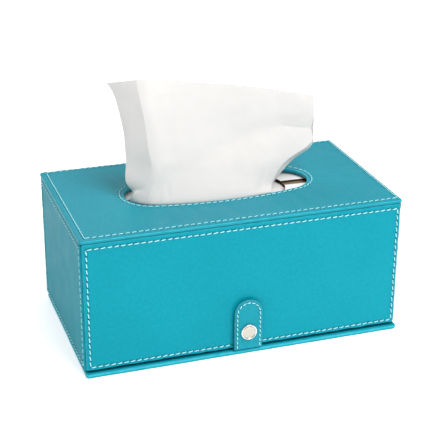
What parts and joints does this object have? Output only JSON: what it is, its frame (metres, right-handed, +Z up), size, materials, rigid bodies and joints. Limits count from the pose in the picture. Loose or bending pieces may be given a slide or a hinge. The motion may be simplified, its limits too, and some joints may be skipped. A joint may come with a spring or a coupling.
{
  "type": "leather tissue box cover",
  "caption": "Rectangular turquoise leather tissue box cover with stitched edges, an oval opening, a hinged base and a snap tab, holding a carton with a tissue drawn out.",
  "frame": {"origin": "on the underside of the base, midway between the side walls and between the front and back walls", "axes": "+X to the right as seen from the front, +Y to the back where the hinge is, +Z up"},
  "size_m": [0.251, 0.145, 0.2045],
  "materials": {
    "leather_turquoise": "satin grain",
    "nickel": "polished",
    "carton_board": "matte",
    "tissue_paper": "matte"
  },
  "bodies": {
    "base": {"base_flap": "leather_turquoise", "hinge_strip": "leather_turquoise"},
    "cover": {"front_wall": "leather_turquoise", "back_wall": "leather_turquoise", "left_wall": "leather_turquoise", "right_wall": "leather_turquoise", "top_panel": "leather_turquoise", "snap_stud": "nickel", "tissue_carton": "carton_board", "tissue_stack": "tissue_paper", "tissue_sheet": "tissue_paper"},
    "tab": {"snap_tab": "leather_turquoise", "snap_cap": "nickel", "snap_socket": "nickel"}
  },
  "joints": [
    {"name": "cover_hinge", "type": "hinge", "parent": "base", "child": "cover", "pos_m": [0, 0.0692, 0.00445], "axis": [-1, 0, 0], "range_deg": [0, 91.5]},
    {"name": "tab_fold", "type": "hinge", "parent": "base", "child": "tab", "pos_m": [0.001, -0.0724, 0.006], "axis": [1, 0, 0], "range_deg": [0, 95]}
  ]
}
